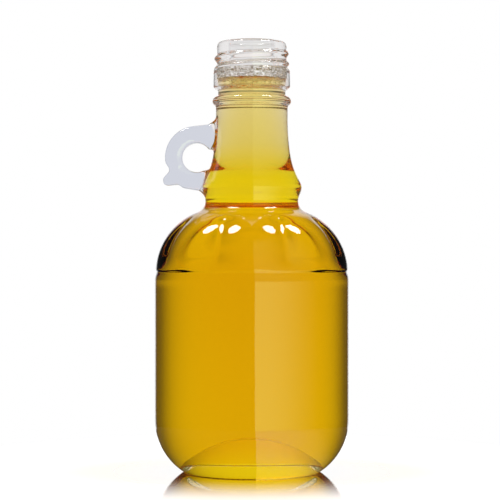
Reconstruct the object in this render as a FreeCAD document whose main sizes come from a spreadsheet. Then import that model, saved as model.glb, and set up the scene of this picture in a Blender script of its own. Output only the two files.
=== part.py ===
import FreeCAD, Part
import math
import os
import re
import Sketcher

# An open glass syrup bottle of the small "gallon jug" pattern: a round body with a wide heel,
# a fluted shoulder, a tapering neck with a finger loop, and a screw finish for a 28 mm cap.
# Lengths are in millimetres and angles in degrees. +Z is up, the origin is the middle of the
# foot, and the finger loop points along -X.

SIZES = {
    # body
    "body_radius": 35.0,
    "wall": 3.0,
    "heel_radius": 22.3,
    "heel_height": 19.0,
    "panel_height": 50.0,
    "ring_depth": 0.7,
    "ring_height": 3.0,
    "ring_lip": 0.8,
    # foot and floor
    "foot_inner_radius": 20.6,
    "underside_rise": 6.0,
    "base_thickness": 7.0,
    "floor_rise": 8.1,
    "floor_crown": 31.0,
    "cavity_heel_radius": 10.0,
    # shoulder
    "shoulder_radius": 23.25,
    "shoulder_step": 0.25,
    "flute_count": 8,
    "flute_depth": 1.4,
    "flute_start": 3.0,
    "flute_end": 64.0,
    "flute_flank_radius": 18.0,
    "flute_half_width": 5.5,
    "flute_overrun": 16.0,
    # neck
    "waist_radius": 16.8,
    "waist_fillet": 4.0,
    "collar_radius": 18.1,
    "collar_rise": 5.0,
    "collar_round": 4.1,
    "flare_height": 24.6,
    "flare_curl": 2.65,
    "flare_ease": 0.72,
    "neck_radius": 13.0,
    "neck_length": 34.4,
    # screw finish
    "bead_depth": 1.65,
    "bead_height": 3.55,
    "finish_groove_radius": 12.2,
    "finish_groove_height": 1.9,
    "band_radius": 13.9,
    "band_chamfer": 1.3,
    "band_height": 6.2,
    "band_slope": 1.2,
    "thread_root_radius": 12.6,
    "thread_land": 7.4,
    "thread_depth": 1.0,
    "thread_width": 1.9,
    "thread_pitch": 3.6,
    "thread_turns": 1.58,
    "thread_start_angle": 160.0,
    "thread_start_drop": 1.0,
    "lip_round": 1.8,
    "lip_inner_round": 0.9,
    # bore
    "neck_bore_radius": 9.6,
    "mouth_bore_radius": 8.4,
    "bore_taper": 10.5,
    # finger loop
    "handle_thickness": 7.6,
    "handle_edge": 1.9,
    "handle_reach": 19.8,
    "handle_rise": 15.8,
    "handle_hole_radius": 5.2,
    "handle_width": 6.3,
    "handle_roof_slope": 6.0,
    "handle_floor_slope": 9.5,
    "thumb_spur_radius": 2.1,
    "thumb_spur_reach": 10.1,
    "thumb_spur_drop": 8.0,
    "thumb_notch_radius": 3.0,
    # syrup
    "headspace": 13.1,
}

doc = FreeCAD.newDocument("SyrupBottle")
sheet = doc.addObject("Spreadsheet::Sheet", "Sizes")
for row, (alias, value) in enumerate(SIZES.items(), start=1):
    sheet.set(f"A{row}", alias)
    sheet.set(f"B{row}", str(value))
    sheet.setAlias(f"B{row}", alias)
doc.recompute()


# ---------------------------------------------------------------------------- drawing helpers

def bound(expression):
    """Write an expression of size names so that it reads the sheet."""
    return re.sub(r"[a-z]\w*", lambda name: f"Sizes.{name.group()}" if name.group() in SIZES
                  else name.group(), expression)


def measure(expression):
    """Work an expression of size names out to a number."""
    return float(sheet.evalExpression(bound(expression)))


def origin_feature(body, role):
    """Find one of a body's own origin planes or axes."""
    return next(feature for feature in body.Origin.OriginFeatures if feature.Role == role)


def meridian_sketch(body, name, azimuth):
    """Start a sketch on the upright half plane that leaves the axis at an azimuth.
    Its first direction runs outwards and its second one up."""
    sketch = body.newObject("Sketcher::SketchObject", name)
    sketch.AttachmentSupport = (origin_feature(body, "XZ_Plane"), [""])
    sketch.MapMode = "FlatFace"
    turn = FreeCAD.Rotation(FreeCAD.Vector(0, 1, 0), measure(azimuth))
    sketch.AttachmentOffset = FreeCAD.Placement(FreeCAD.Vector(), turn)
    sketch.setExpression("AttachmentOffset.Rotation.Angle", bound(azimuth))
    return sketch


def arc_between(start, end, radius):
    """Give the arc from start to end. A positive radius turns left, a negative one right."""
    middle = (start + end) * 0.5
    half_chord = (end - start).Length / 2
    across = FreeCAD.Vector(start.y - end.y, end.x - start.x, 0).normalize()
    reach = math.sqrt(max(radius ** 2 - half_chord ** 2, 0.0))
    centre = middle + across * math.copysign(reach, radius)
    circle = Part.Circle(centre, FreeCAD.Vector(0, 0, 1), abs(radius))
    first, last = (start, end) if radius > 0 else (end, start)
    return Part.ArcOfCircle(circle, circle.parameter(first), circle.parameter(last))


def pin_point(sketch, edge, end, direction, expression):
    """Hold one end of an edge at a bound distance from the sketch's origin."""
    axis = {"DistanceX": -2, "DistanceY": -1}[direction]
    if expression == "0":
        sketch.addConstraint(Sketcher.Constraint("PointOnObject", edge, end, axis))
        return
    distance = Sketcher.Constraint(direction, -1, 1, edge, end, measure(expression))
    sketch.setExpression(f"Constraints[{sketch.addConstraint(distance)}]", bound(expression))


def draw_outline(sketch, corners):
    """Draw a closed outline. Each corner is its two coordinates, then the radius of the arc
    that leads to it from the corner before, with its sign, or None for a straight line."""
    points = [FreeCAD.Vector(measure(across), measure(up), 0) for across, up, radius in corners]
    ends = []
    for index, (across, up, radius) in enumerate(corners):
        start = points[index - 1]
        end = points[index]
        if radius is None:
            edge = sketch.addGeometry(Part.LineSegment(start, end))
            ends.append((edge, 1, 2))
            continue
        edge = sketch.addGeometry(arc_between(start, end, measure(radius)))
        turns_left = measure(radius) > 0
        ends.append((edge, 1, 2) if turns_left else (edge, 2, 1))
        size = bound(radius if turns_left else f"-({radius})")
        limit = sketch.addConstraint(Sketcher.Constraint("Radius", edge, abs(measure(radius))))
        sketch.setExpression(f"Constraints[{limit}]", size)
    for index, (across, up, radius) in enumerate(corners):
        edge, first, last = ends[index]
        following, following_first, following_last = ends[(index + 1) % len(ends)]
        sketch.addConstraint(
            Sketcher.Constraint("Coincident", edge, last, following, following_first))
        pin_point(sketch, edge, last, "DistanceX", across)
        pin_point(sketch, edge, last, "DistanceY", up)


def revolve(body, name, sketch):
    """Turn a closed outline all the way round the body's upright axis."""
    turned = body.newObject("PartDesign::Revolution", name)
    turned.Profile = sketch
    turned.ReferenceAxis = (sketch, ["V_Axis"])
    turned.Angle = 360
    doc.recompute()


# ------------------------------------------------------------------ levels that pieces share

panel_top = "(heel_height + panel_height)"
shoulder_level = f"({panel_top} + ring_height - shoulder_step)"
shoulder_centre = "(body_radius - shoulder_step - shoulder_radius)"
shoulder_start = f"({panel_top} + ring_height + ring_lip)"
fillet_centre = "(waist_radius + waist_fillet)"
centre_gap = f"({fillet_centre} - {shoulder_centre})"
waist_level = (f"({shoulder_level}"
               f" + sqrt((shoulder_radius + waist_fillet)^2 - {centre_gap}^2))")
collar_level = f"({waist_level} + collar_rise)"
flare_top = f"({collar_level} + flare_height)"
bead_level = f"({waist_level} + neck_length)"
groove_level = f"({bead_level} + bead_height)"
band_level = f"({groove_level} + finish_groove_height + band_chamfer)"
thread_level = f"({band_level} + band_height + band_slope)"
lip_level = f"({thread_level} + thread_land)"
mouth_level = f"({lip_level} + lip_round)"


# ------------------------------------------------------------------------------- glass blank

def add_handle(body):
    """Pad the finger loop across the plane of the handle and round its edges."""
    hole_level = f"({waist_level} + handle_rise)"
    outer = "(handle_hole_radius + handle_width)"
    roof = (f"(handle_reach + {outer} * sin(handle_roof_slope))",
            f"({hole_level} + {outer} * cos(handle_roof_slope))")
    spur = ("(handle_reach + thumb_spur_reach)", f"({hole_level} - thumb_spur_drop)")
    floor = (f"({spur[0]} + thumb_spur_radius * sin(handle_floor_slope))",
             f"({spur[1]} - thumb_spur_radius * cos(handle_floor_slope))")
    far = f"({outer} + thumb_notch_radius)"
    near = "(thumb_spur_radius + thumb_notch_radius)"
    span = "sqrt(thumb_spur_reach^2 + thumb_spur_drop^2)"
    along = f"(({far}^2 - {near}^2 + {span}^2) / (2 * {span}^2))"
    aside = f"(sqrt({far}^2 - ({along} * {span})^2) / {span})"
    notch = (f"(handle_reach + {along} * thumb_spur_reach + {aside} * thumb_spur_drop)",
             f"({hole_level} - {along} * thumb_spur_drop + {aside} * thumb_spur_reach)")
    notch_foot = tuple(f"({centre} + ({middle} - {centre}) * thumb_spur_radius / {near})"
                       for centre, middle in zip(spur, notch))
    notch_top = tuple(f"({centre} + ({middle} - {centre}) * {outer} / {far})"
                      for centre, middle in zip(("handle_reach", hole_level), notch))
    sketch = meridian_sketch(body, "HandleOutline", "180")
    draw_outline(sketch, [
        ("0", f"({floor[1]} - {floor[0]} * tan(handle_floor_slope))", None),
        (*floor, None),
        (*notch_foot, "thumb_spur_radius"),
        (*notch_top, "-thumb_notch_radius"),
        (*roof, outer),
        ("0", f"({roof[1]} + {roof[0]} * tan(handle_roof_slope))", None),
    ])
    hole = sketch.addGeometry(Part.Circle(
        FreeCAD.Vector(measure("handle_reach"), measure(hole_level), 0),
        FreeCAD.Vector(0, 0, 1), measure("handle_hole_radius")))
    radius = sketch.addConstraint(
        Sketcher.Constraint("Radius", hole, measure("handle_hole_radius")))
    sketch.setExpression(f"Constraints[{radius}]", bound("handle_hole_radius"))
    pin_point(sketch, hole, 3, "DistanceX", "handle_reach")
    pin_point(sketch, hole, 3, "DistanceY", hole_level)
    pad = body.newObject("PartDesign::Pad", "HandlePad")
    pad.Profile = sketch
    pad.Midplane = True
    pad.setExpression("Length", bound("handle_thickness"))
    doc.recompute()
    rims = [f"Edge{number}" for number, edge in enumerate(pad.Shape.Edges, start=1)
            if edge.BoundBox.YLength < edge.BoundBox.XLength]
    rounding = body.newObject("PartDesign::Fillet", "HandleRounding")
    rounding.Base = (pad, rims)
    rounding.setExpression("Radius", bound("handle_edge"))
    doc.recompute()


def add_outside(body):
    """Revolve the outside of the glass from the foot to the lip."""
    foot_radius = ("(body_radius - heel_radius"
                   " + sqrt(heel_radius^2 - heel_height^2))")
    underside = "((foot_inner_radius^2 + underside_rise^2) / (2 * underside_rise))"
    ring_round = "((ring_height^2 + ring_depth^2) / (2 * ring_depth))"
    shoulder_edge = (f"({shoulder_centre}"
                     f" + sqrt(shoulder_radius^2 - ({shoulder_start} - {shoulder_level})^2))")
    share = "shoulder_radius / (shoulder_radius + waist_fillet)"
    fillet_foot = (f"({shoulder_centre} + {centre_gap} * {share})",
                   f"({shoulder_level} + ({waist_level} - {shoulder_level}) * {share})")
    swell = "(collar_radius - waist_radius)"
    collar_turn = f"(2 * atan({swell} / collar_rise))"
    waist_round = f"(collar_rise / sin({collar_turn}) - collar_round)"
    swell_join = (f"(waist_radius + {waist_round} * (1 - cos({collar_turn})))",
                  f"({waist_level} + {waist_round} * sin({collar_turn}))")
    slope = "atan((collar_radius - neck_radius) / flare_height)"
    steep = f"({slope} * flare_curl)"
    easy = f"({slope} * flare_ease)"
    flare_foot = (f"(collar_radius - collar_round * (1 - cos({steep})))",
                  f"({collar_level} + collar_round * sin({steep}))")
    narrowing = f"({flare_foot[0]} - neck_radius)"
    rise = f"({flare_top} - {flare_foot[1]})"
    lean = f"(cos({easy}) - cos({steep}))"
    spread = f"(sin({steep}) - sin({easy}))"
    versine = f"(1 - cos({easy}))"
    scale = f"({lean} * sin({easy}) - {versine} * {spread})"
    lower_flare = f"(({narrowing} * sin({easy}) - {rise} * {versine}) / {scale})"
    upper_flare = f"(({lean} * {rise} - {spread} * {narrowing}) / {scale})"
    flare_join = (f"(neck_radius + {upper_flare} * {versine})",
                  f"({flare_top} - {upper_flare} * sin({easy}))")
    bead_drop = "(neck_radius - finish_groove_radius)"
    bead_round = (f"(((bead_height^2 + {bead_drop}^2) / 4 + bead_depth^2)"
                  " / (2 * bead_depth))")
    sketch = meridian_sketch(body, "OutsideOutline", "0")
    draw_outline(sketch, [
        ("0", "underside_rise", None),
        ("foot_inner_radius", "0", f"-{underside}"),
        (foot_radius, "0", None),
        ("body_radius", "heel_height", "heel_radius"),
        ("body_radius", panel_top, None),
        ("(body_radius - ring_depth)", f"({panel_top} + ring_height)", ring_round),
        (shoulder_edge, shoulder_start, None),
        (*fillet_foot, "shoulder_radius"),
        ("waist_radius", waist_level, "-waist_fillet"),
        (*swell_join, f"-{waist_round}"),
        ("collar_radius", collar_level, "collar_round"),
        (*flare_foot, "collar_round"),
        (*flare_join, f"-{lower_flare}"),
        ("neck_radius", flare_top, f"-{upper_flare}"),
        ("neck_radius", bead_level, None),
        ("finish_groove_radius", groove_level, bead_round),
        ("finish_groove_radius", f"({groove_level} + finish_groove_height)", None),
        ("band_radius", band_level, None),
        ("band_radius", f"({band_level} + band_height)", None),
        ("thread_root_radius", thread_level, None),
        ("thread_root_radius", lip_level, None),
        ("(thread_root_radius - lip_round)", mouth_level, "lip_round"),
        ("0", mouth_level, None),
    ])
    revolve(body, "Outside", sketch)


def add_flutes(body):
    """Cut the valleys between the shoulder's lobes. A valley follows a flatter arc than the
    shoulder, so it runs out at both ends."""
    half_turn = "((flute_end - flute_start) / 2)"
    middle_turn = "((flute_end + flute_start) / 2)"
    half_chord = f"(shoulder_radius * sin({half_turn}))"
    sag = f"(shoulder_radius * (1 - cos({half_turn})) - flute_depth)"
    path_radius = f"(({half_chord}^2 + {sag}^2) / (2 * {sag}))"
    shift = f"(shoulder_radius * cos({half_turn}) + {sag} - {path_radius})"
    axis_reach = f"({shoulder_centre} + {shift} * cos({middle_turn}))"
    axis_level = f"({shoulder_level} + {shift} * sin({middle_turn}))"
    crest = ("(flute_flank_radius"
             " - sqrt(flute_flank_radius^2 - flute_half_width^2))")
    valley = f"({axis_reach} + {path_radius})"
    sketch = body.newObject("Sketcher::SketchObject", "FluteSection")
    sketch.AttachmentSupport = (origin_feature(body, "XY_Plane"), [""])
    sketch.MapMode = "FlatFace"
    azimuth = "(180 / flute_count)"
    sketch.AttachmentOffset = FreeCAD.Placement(
        FreeCAD.Vector(0, 0, measure(axis_level)),
        FreeCAD.Rotation(FreeCAD.Vector(0, 0, 1), measure(azimuth)))
    sketch.setExpression("AttachmentOffset.Base.z", bound(axis_level))
    sketch.setExpression("AttachmentOffset.Rotation.Angle", bound(azimuth))
    draw_outline(sketch, [
        (f"({valley} + {crest})", "flute_half_width", "-flute_flank_radius"),
        (f"({valley} + 3 * flute_depth)", "flute_half_width", None),
        (f"({valley} + 3 * flute_depth)", "-flute_half_width", None),
        (f"({valley} + {crest})", "-flute_half_width", None),
        (valley, "0", "-flute_flank_radius"),
    ])
    hinge = sketch.addGeometry(Part.LineSegment(
        FreeCAD.Vector(measure(axis_reach), 0, 0), FreeCAD.Vector(measure(axis_reach), 10, 0)),
        True)
    sketch.addConstraint(Sketcher.Constraint("Vertical", hinge))
    sketch.addConstraint(Sketcher.Constraint("DistanceY", hinge, 1, hinge, 2, 10))
    pin_point(sketch, hinge, 1, "DistanceY", "0")
    pin_point(sketch, hinge, 1, "DistanceX", axis_reach)
    flute = body.newObject("PartDesign::Groove", "Flute")
    flute.Profile = sketch
    flute.ReferenceAxis = (sketch, ["Axis0"])
    flute.Reversed = True
    flute.setExpression("Angle", bound(f"({middle_turn} + flute_overrun)"))
    doc.recompute()
    ring = body.newObject("PartDesign::PolarPattern", "Flutes")
    ring.Originals = [flute]
    ring.Axis = (origin_feature(body, "Z_Axis"), [""])
    ring.Angle = 360
    ring.setExpression("Occurrences", bound("flute_count"))
    body.Tip = ring
    doc.recompute()


def add_thread(body):
    """Wind the right-handed screw ridge up the finish."""
    foot = f"({thread_level} - thread_start_drop)"
    root = "(thread_root_radius - thread_depth)"
    crest = "(thread_root_radius + thread_depth)"
    sketch = meridian_sketch(body, "ThreadSection", "thread_start_angle")
    draw_outline(sketch, [
        (root, f"({foot} - thread_width)", None),
        (crest, f"({foot} - thread_width / 4)", None),
        (crest, f"({foot} + thread_width / 4)", None),
        (root, f"({foot} + thread_width)", None),
    ])
    thread = body.newObject("PartDesign::AdditiveHelix", "Thread")
    thread.Profile = sketch
    thread.ReferenceAxis = (sketch, ["V_Axis"])
    thread.Mode = "pitch-turns-angle"
    thread.setExpression("Pitch", bound("thread_pitch"))
    thread.setExpression("Turns", bound("thread_turns"))
    doc.recompute()


def make_blank():
    """Make the glass as if it were solid all through."""
    body = doc.addObject("PartDesign::Body", "Blank")
    add_handle(body)
    add_outside(body)
    add_flutes(body)
    add_thread(body)
    return body


# ------------------------------------------------------------------------------------ cavity

def make_cavity():
    """Revolve the space inside the glass. Both the bottle and the syrup take their shape
    from it, so the syrup always meets the wall."""
    cavity_radius = "(body_radius - wall)"
    trough_reach = f"({cavity_radius} - cavity_heel_radius)"
    floor_top = "(base_thickness + floor_rise)"
    floor_rounds = f"(({trough_reach}^2 + floor_rise^2) / (2 * floor_rise))"
    trough_round = f"({floor_rounds} - floor_crown)"
    crown_join = (f"({trough_reach} * floor_crown / {floor_rounds})",
                  f"({floor_top} - floor_rise * floor_crown / {floor_rounds})")
    inner_shoulder = f"({cavity_radius} - {shoulder_centre})"
    thickness = f"(shoulder_radius - {inner_shoulder})"
    inner_fillet = f"(waist_fillet + {thickness})"
    share = f"{inner_shoulder} / (shoulder_radius + waist_fillet)"
    fillet_foot = (f"({shoulder_centre} + {centre_gap} * {share})",
                   f"({shoulder_level} + ({waist_level} - {shoulder_level}) * {share})")
    reach = f"({fillet_centre} - neck_bore_radius)"
    climb = f"({flare_top} - {waist_level})"
    flare = f"(({reach}^2 + {climb}^2 - {inner_fillet}^2) / (2 * ({reach} - {inner_fillet})))"
    stretch = f"({flare} / ({flare} - {inner_fillet}))"
    flare_centre = f"(neck_bore_radius + {flare})"
    flare_foot = (f"({flare_centre} + ({fillet_centre} - {flare_centre}) * {stretch})",
                  f"({flare_top} + ({waist_level} - {flare_top}) * {stretch})")
    body = doc.addObject("PartDesign::Body", "Cavity")
    sketch = meridian_sketch(body, "CavityOutline", "0")
    draw_outline(sketch, [
        ("0", floor_top, None),
        (*crown_join, "-floor_crown"),
        (trough_reach, "base_thickness", trough_round),
        (cavity_radius, "(base_thickness + cavity_heel_radius)", "cavity_heel_radius"),
        (cavity_radius, shoulder_level, None),
        (*fillet_foot, inner_shoulder),
        (*flare_foot, f"-{inner_fillet}"),
        ("neck_bore_radius", flare_top, f"-{flare}"),
        ("mouth_bore_radius", f"({flare_top} + bore_taper)", None),
        ("mouth_bore_radius", f"({mouth_level} - lip_inner_round)", None),
        ("(mouth_bore_radius + lip_inner_round)", mouth_level, "-lip_inner_round"),
        ("(mouth_bore_radius + lip_inner_round)", f"({mouth_level} + lip_round)", None),
        ("0", f"({mouth_level} + lip_round)", None),
    ])
    revolve(body, "Space", sketch)
    return body


# --------------------------------------------------------------------------------- sub-parts

def make_bottle(blank, cavity):
    """Hollow the blank out."""
    bottle = doc.addObject("Part::Cut", "Bottle")
    bottle.Base = blank
    bottle.Tool = cavity
    bottle.Label = "bottle"
    bottle.Placement = FreeCAD.Placement()
    return bottle


def make_syrup(cavity):
    """Fill the cavity up to the syrup's level."""
    reach = doc.addObject("Part::Cylinder", "SyrupReach")
    reach.setExpression("Radius", bound("2 * body_radius"))
    reach.setExpression("Height", bound(f"{mouth_level} - headspace"))
    syrup = doc.addObject("Part::Common", "Syrup")
    syrup.Base = cavity
    syrup.Tool = reach
    syrup.Label = "syrup"
    syrup.Placement = FreeCAD.Placement()
    return syrup


blank = make_blank()
cavity = make_cavity()
parts = [make_bottle(blank, cavity), make_syrup(cavity)]
doc.recompute()

failed = [item.Name for item in doc.Objects if {"Invalid", "Error"} & set(item.State)]
if failed:
    raise RuntimeError(f"these did not compute: {failed}")
for part in parts:
    if part.Shape.isNull() or not part.Shape.isValid() or len(part.Shape.Solids) != 1:
        raise RuntimeError(f"{part.Label} is not one sound solid")

os.makedirs("parts", exist_ok=True)
for part in parts:
    part.Shape.exportStep(f"parts/{part.Label}.step")
    box = part.Shape.BoundBox
    print(f"{part.Label}: {part.Shape.Volume / 1000:.1f} cm3, x {box.XMin:.2f} to {box.XMax:.2f},"
          f" y {box.YMin:.2f} to {box.YMax:.2f}, z {box.ZMin:.2f} to {box.ZMax:.2f}")
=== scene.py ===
# %% [markdown]
# # A jug bottle of golden syrup
#
# The object is a small glass jug bottle: a round body, a shoulder of soft lobes, a neck with a
# finger loop, and an open screw mouth. It is full of golden syrup, with a little froth on top.
#
# Glass and syrup are seen by what they bend. The picture is made by the two skins of the glass,
# the edge of the syrup and the bright room around them, so the lesson spends its care on three
# things: true outlines, walls with a real thickness, and a studio with light and dark in it.
#
# The CAD model of the bottle is loaded first. Everything made here stands where it stands.

import math
import random

import bmesh
import bpy
from mathutils import Matrix, Vector, noise


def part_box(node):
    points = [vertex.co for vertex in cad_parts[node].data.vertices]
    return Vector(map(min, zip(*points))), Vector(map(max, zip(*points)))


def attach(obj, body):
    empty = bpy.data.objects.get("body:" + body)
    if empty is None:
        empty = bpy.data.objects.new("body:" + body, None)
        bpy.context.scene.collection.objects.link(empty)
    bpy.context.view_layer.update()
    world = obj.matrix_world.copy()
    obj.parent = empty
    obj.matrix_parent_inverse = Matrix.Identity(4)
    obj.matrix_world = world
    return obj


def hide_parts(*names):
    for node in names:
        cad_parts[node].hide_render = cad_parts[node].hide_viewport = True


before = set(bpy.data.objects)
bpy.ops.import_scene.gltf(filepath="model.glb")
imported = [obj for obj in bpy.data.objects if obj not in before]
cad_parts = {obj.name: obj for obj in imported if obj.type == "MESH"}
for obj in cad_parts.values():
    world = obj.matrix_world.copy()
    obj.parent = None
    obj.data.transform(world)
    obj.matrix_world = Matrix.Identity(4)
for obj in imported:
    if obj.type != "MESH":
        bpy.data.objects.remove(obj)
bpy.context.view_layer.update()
glass_low, glass_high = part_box("bottle")
syrup_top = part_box("syrup")[1]
print("bottle", [round(v * 1000, 2) for v in (*glass_low, *glass_high)])
print("syrup level", round(syrup_top.z * 1000, 2))

# %% [markdown]
# ## The sizes of the bottle
#
# A glassworks draws a bottle as half of its outline and turns it about the middle. The numbers
# below are that drawing, in millimetres. The body's radius, the height and the syrup's level
# are read from the frame, so that this model and the CAD model can't drift apart.

# %% Sizes in millimetres
TO_METRES = 0.001
BODY_RADIUS = min(-glass_low.x, -glass_low.y, glass_high.x, glass_high.y) / TO_METRES
MOUTH_LEVEL = glass_high.z / TO_METRES - 0.01
SYRUP_LEVEL = syrup_top.z / TO_METRES

WALL = 3.0
HEEL_RADIUS, HEEL_HEIGHT = 22.3, 19.0
PANEL_TOP = 69.0
RING_DEPTH, RING_HEIGHT, RING_LIP = 0.7, 3.0, 0.8
FOOT_INNER, UNDERSIDE_RISE = 20.6, 6.0
BASE_THICKNESS, FLOOR_RISE, FLOOR_CROWN, CAVITY_HEEL = 7.0, 8.1, 31.0, 10.0
SHOULDER_RADIUS, SHOULDER_STEP = 23.25, 0.25
WAIST_RADIUS, WAIST_FILLET = 16.8, 4.0
COLLAR_RADIUS, COLLAR_RISE, COLLAR_ROUND = 18.1, 5.0, 4.1
FLARE_HEIGHT, FLARE_CURL, FLARE_EASE = 24.6, 2.65, 0.72
NECK_RADIUS, NECK_LENGTH = 13.0, 34.4
BEAD_HEIGHT, BEAD_DEPTH, GROOVE_RADIUS, GROOVE_HEIGHT = 3.55, 1.65, 12.2, 1.9
BAND_RADIUS, BAND_CHAMFER, BAND_HEIGHT, BAND_SLOPE = 13.9, 1.3, 6.2, 1.2
THREAD_ROOT, THREAD_LAND, LIP_ROUND, LIP_INNER = 12.6, 7.4, 1.8, 0.9
NECK_BORE, MOUTH_BORE, BORE_TAPER = 9.6, 8.4, 10.5

SHOULDER_CENTRE = BODY_RADIUS - SHOULDER_STEP - SHOULDER_RADIUS
SHOULDER_LEVEL = PANEL_TOP + RING_HEIGHT - SHOULDER_STEP
FILLET_CENTRE = WAIST_RADIUS + WAIST_FILLET
CENTRE_GAP = FILLET_CENTRE - SHOULDER_CENTRE
WAIST_LEVEL = SHOULDER_LEVEL + math.sqrt((SHOULDER_RADIUS + WAIST_FILLET) ** 2 - CENTRE_GAP ** 2)
COLLAR_LEVEL = WAIST_LEVEL + COLLAR_RISE
FLARE_TOP = COLLAR_LEVEL + FLARE_HEIGHT
BEAD_LEVEL = WAIST_LEVEL + NECK_LENGTH
GROOVE_LEVEL = BEAD_LEVEL + BEAD_HEIGHT
BAND_LEVEL = GROOVE_LEVEL + GROOVE_HEIGHT + BAND_CHAMFER
THREAD_LEVEL = BAND_LEVEL + BAND_HEIGHT + BAND_SLOPE
LIP_LEVEL = THREAD_LEVEL + THREAD_LAND
FROTH_LEVEL = SYRUP_LEVEL + 4.0
print("waist", round(WAIST_LEVEL, 2), "bead", round(BEAD_LEVEL, 2), "band", round(BAND_LEVEL, 2),
      "thread", round(THREAD_LEVEL, 2), "mouth", round(MOUTH_LEVEL, 2))

# %% [markdown]
# ## A pen that draws outlines
#
# An outline could be typed as a long list of points. It's better drawn the way a draughtsman
# does it, with straight lines and arcs, because those few numbers are the ones that mean
# something. The pen is one vertex. A line extrudes it step by step, and an arc spins it about
# the arc's centre, so the mesh operators place every point. Each corner also says how far apart
# the points lie, which is close where the glass is rounded tightly and wide on plain walls.

# %% The pen
def move_pen(bm, pen, end, spacing):
    """Extrude the pen's vertex along a straight line."""
    steps = max(1, round((end - pen.co).length / spacing))
    stride = (end - pen.co) / steps
    for _ in range(steps):
        pen = bmesh.ops.extrude_vert_indiv(bm, verts=[pen])["verts"][0]
        bmesh.ops.translate(bm, verts=[pen], vec=stride)
    return pen


def swing_pen(bm, pen, end, radius, spacing):
    """Spin the pen's vertex along an arc. A positive radius turns left, a negative one right."""
    chord = end - pen.co
    middle = (pen.co + end) / 2
    across = Vector((-chord.z, 0, chord.x)).normalized()
    reach = math.sqrt(max(radius ** 2 - chord.length_squared / 4, 0))
    centre = middle + across * math.copysign(reach, radius)
    angle = 2 * math.asin(min(chord.length / 2 / abs(radius), 1))
    steps = max(2, round(angle * abs(radius) / spacing))
    turned = bmesh.ops.spin(bm, geom=[pen], cent=centre, axis=(0, -math.copysign(1, radius), 0),
                            angle=angle, steps=steps)
    pen = next(item for item in turned["geom_last"] if isinstance(item, bmesh.types.BMVert))
    pen.co = end
    return pen


def draw_outline(bm, corners):
    """Draw an outline on the XZ plane from corners of (across, up, arc radius, spacing)."""
    across, up, _, _ = corners[0]
    pen = bm.verts.new((across, 0, up))
    for across, up, radius, spacing in corners[1:]:
        end = Vector((across, 0, up))
        if radius:
            pen = swing_pen(bm, pen, end, radius, spacing)
        else:
            pen = move_pen(bm, pen, end, spacing)


# %% [markdown]
# ## The outside of the glass
#
# From the middle of the pushed-up underside the outline runs out over the foot, round the heel
# and up the plain panel where a label would go. A small ring groove parts the panel from the
# shoulder. Above the waist a collar swells, and the neck draws in to the screw finish: a bead
# that the filling machine holds, a groove, a band and the land that carries the thread.

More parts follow.
